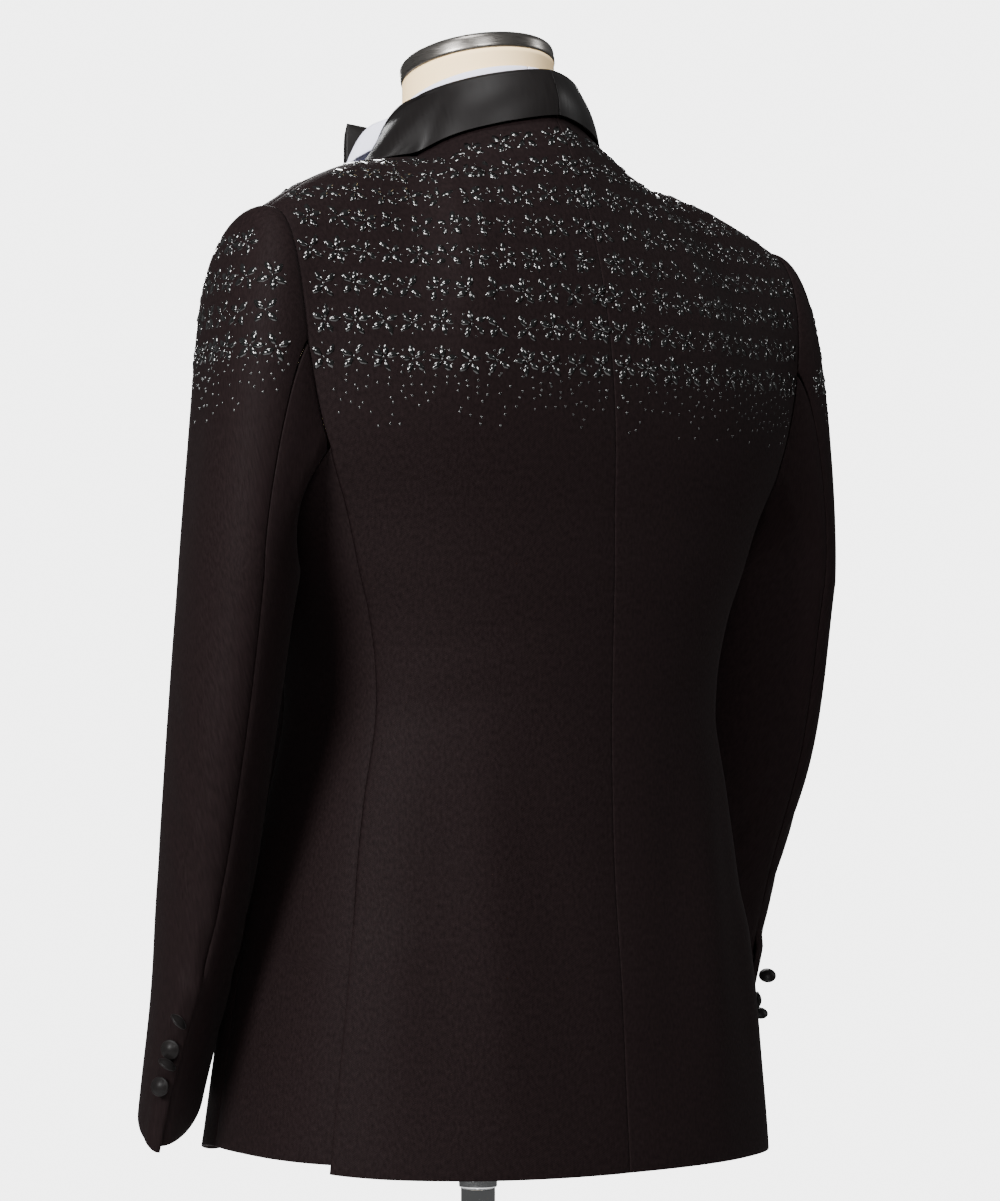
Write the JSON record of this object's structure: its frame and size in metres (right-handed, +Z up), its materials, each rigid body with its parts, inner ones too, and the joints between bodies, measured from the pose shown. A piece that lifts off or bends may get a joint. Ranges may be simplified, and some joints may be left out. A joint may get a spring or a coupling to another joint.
{
  "type": "tuxedo jacket, shirt front and bow tie on a dress form",
  "caption": "Shawl-collared tuxedo jacket with a beaded yoke over a shirt front and bow tie, on a limbless dress form with a pole and a round base.",
  "frame": {"origin": "on the floor under the middle of the round base, on the pole's axis", "axes": "+Z up, -Y the way the wearer faces, +X the wearer's left"},
  "size_m": [0.5442, 0.38, 1.566],
  "materials": {
    "jacket_cloth": "matte",
    "black_satin": "satin",
    "shirt_cotton": "matte",
    "form_cloth": "matte",
    "smoked_metal": "polished",
    "chrome_metal": "polished"
  },
  "bodies": {
    "root": {"back_left": "jacket_cloth", "side_left": "jacket_cloth", "front_left": "jacket_cloth", "top_sleeve_left": "jacket_cloth", "under_sleeve_left": "jacket_cloth", "collar_left": "black_satin", "cuff_button_left_1": "black_satin", "cuff_button_left_2": "black_satin", "cuff_button_left_3": "black_satin", "cuff_button_left_4": "black_satin", "back_right": "jacket_cloth", "side_right": "jacket_cloth", "front_right": "jacket_cloth", "top_sleeve_right": "jacket_cloth", "under_sleeve_right": "jacket_cloth", "collar_right": "black_satin", "cuff_button_right_1": "black_satin", "cuff_button_right_2": "black_satin", "cuff_button_right_3": "black_satin", "cuff_button_right_4": "black_satin", "front_button": "black_satin", "shirt_stand": "shirt_cotton", "shirt_leaf_left": "shirt_cotton", "shirt_front_left": "shirt_cotton", "bow_wing_left": "black_satin", "shirt_leaf_right": "shirt_cotton", "shirt_front_right": "shirt_cotton", "bow_wing_right": "black_satin", "bow_knot": "black_satin", "form_torso": "form_cloth", "form_neck": "form_cloth", "neck_cap": "smoked_metal", "ferrule": "chrome_metal", "pole": "chrome_metal", "base": "chrome_metal"}
  },
  "joints": []
}
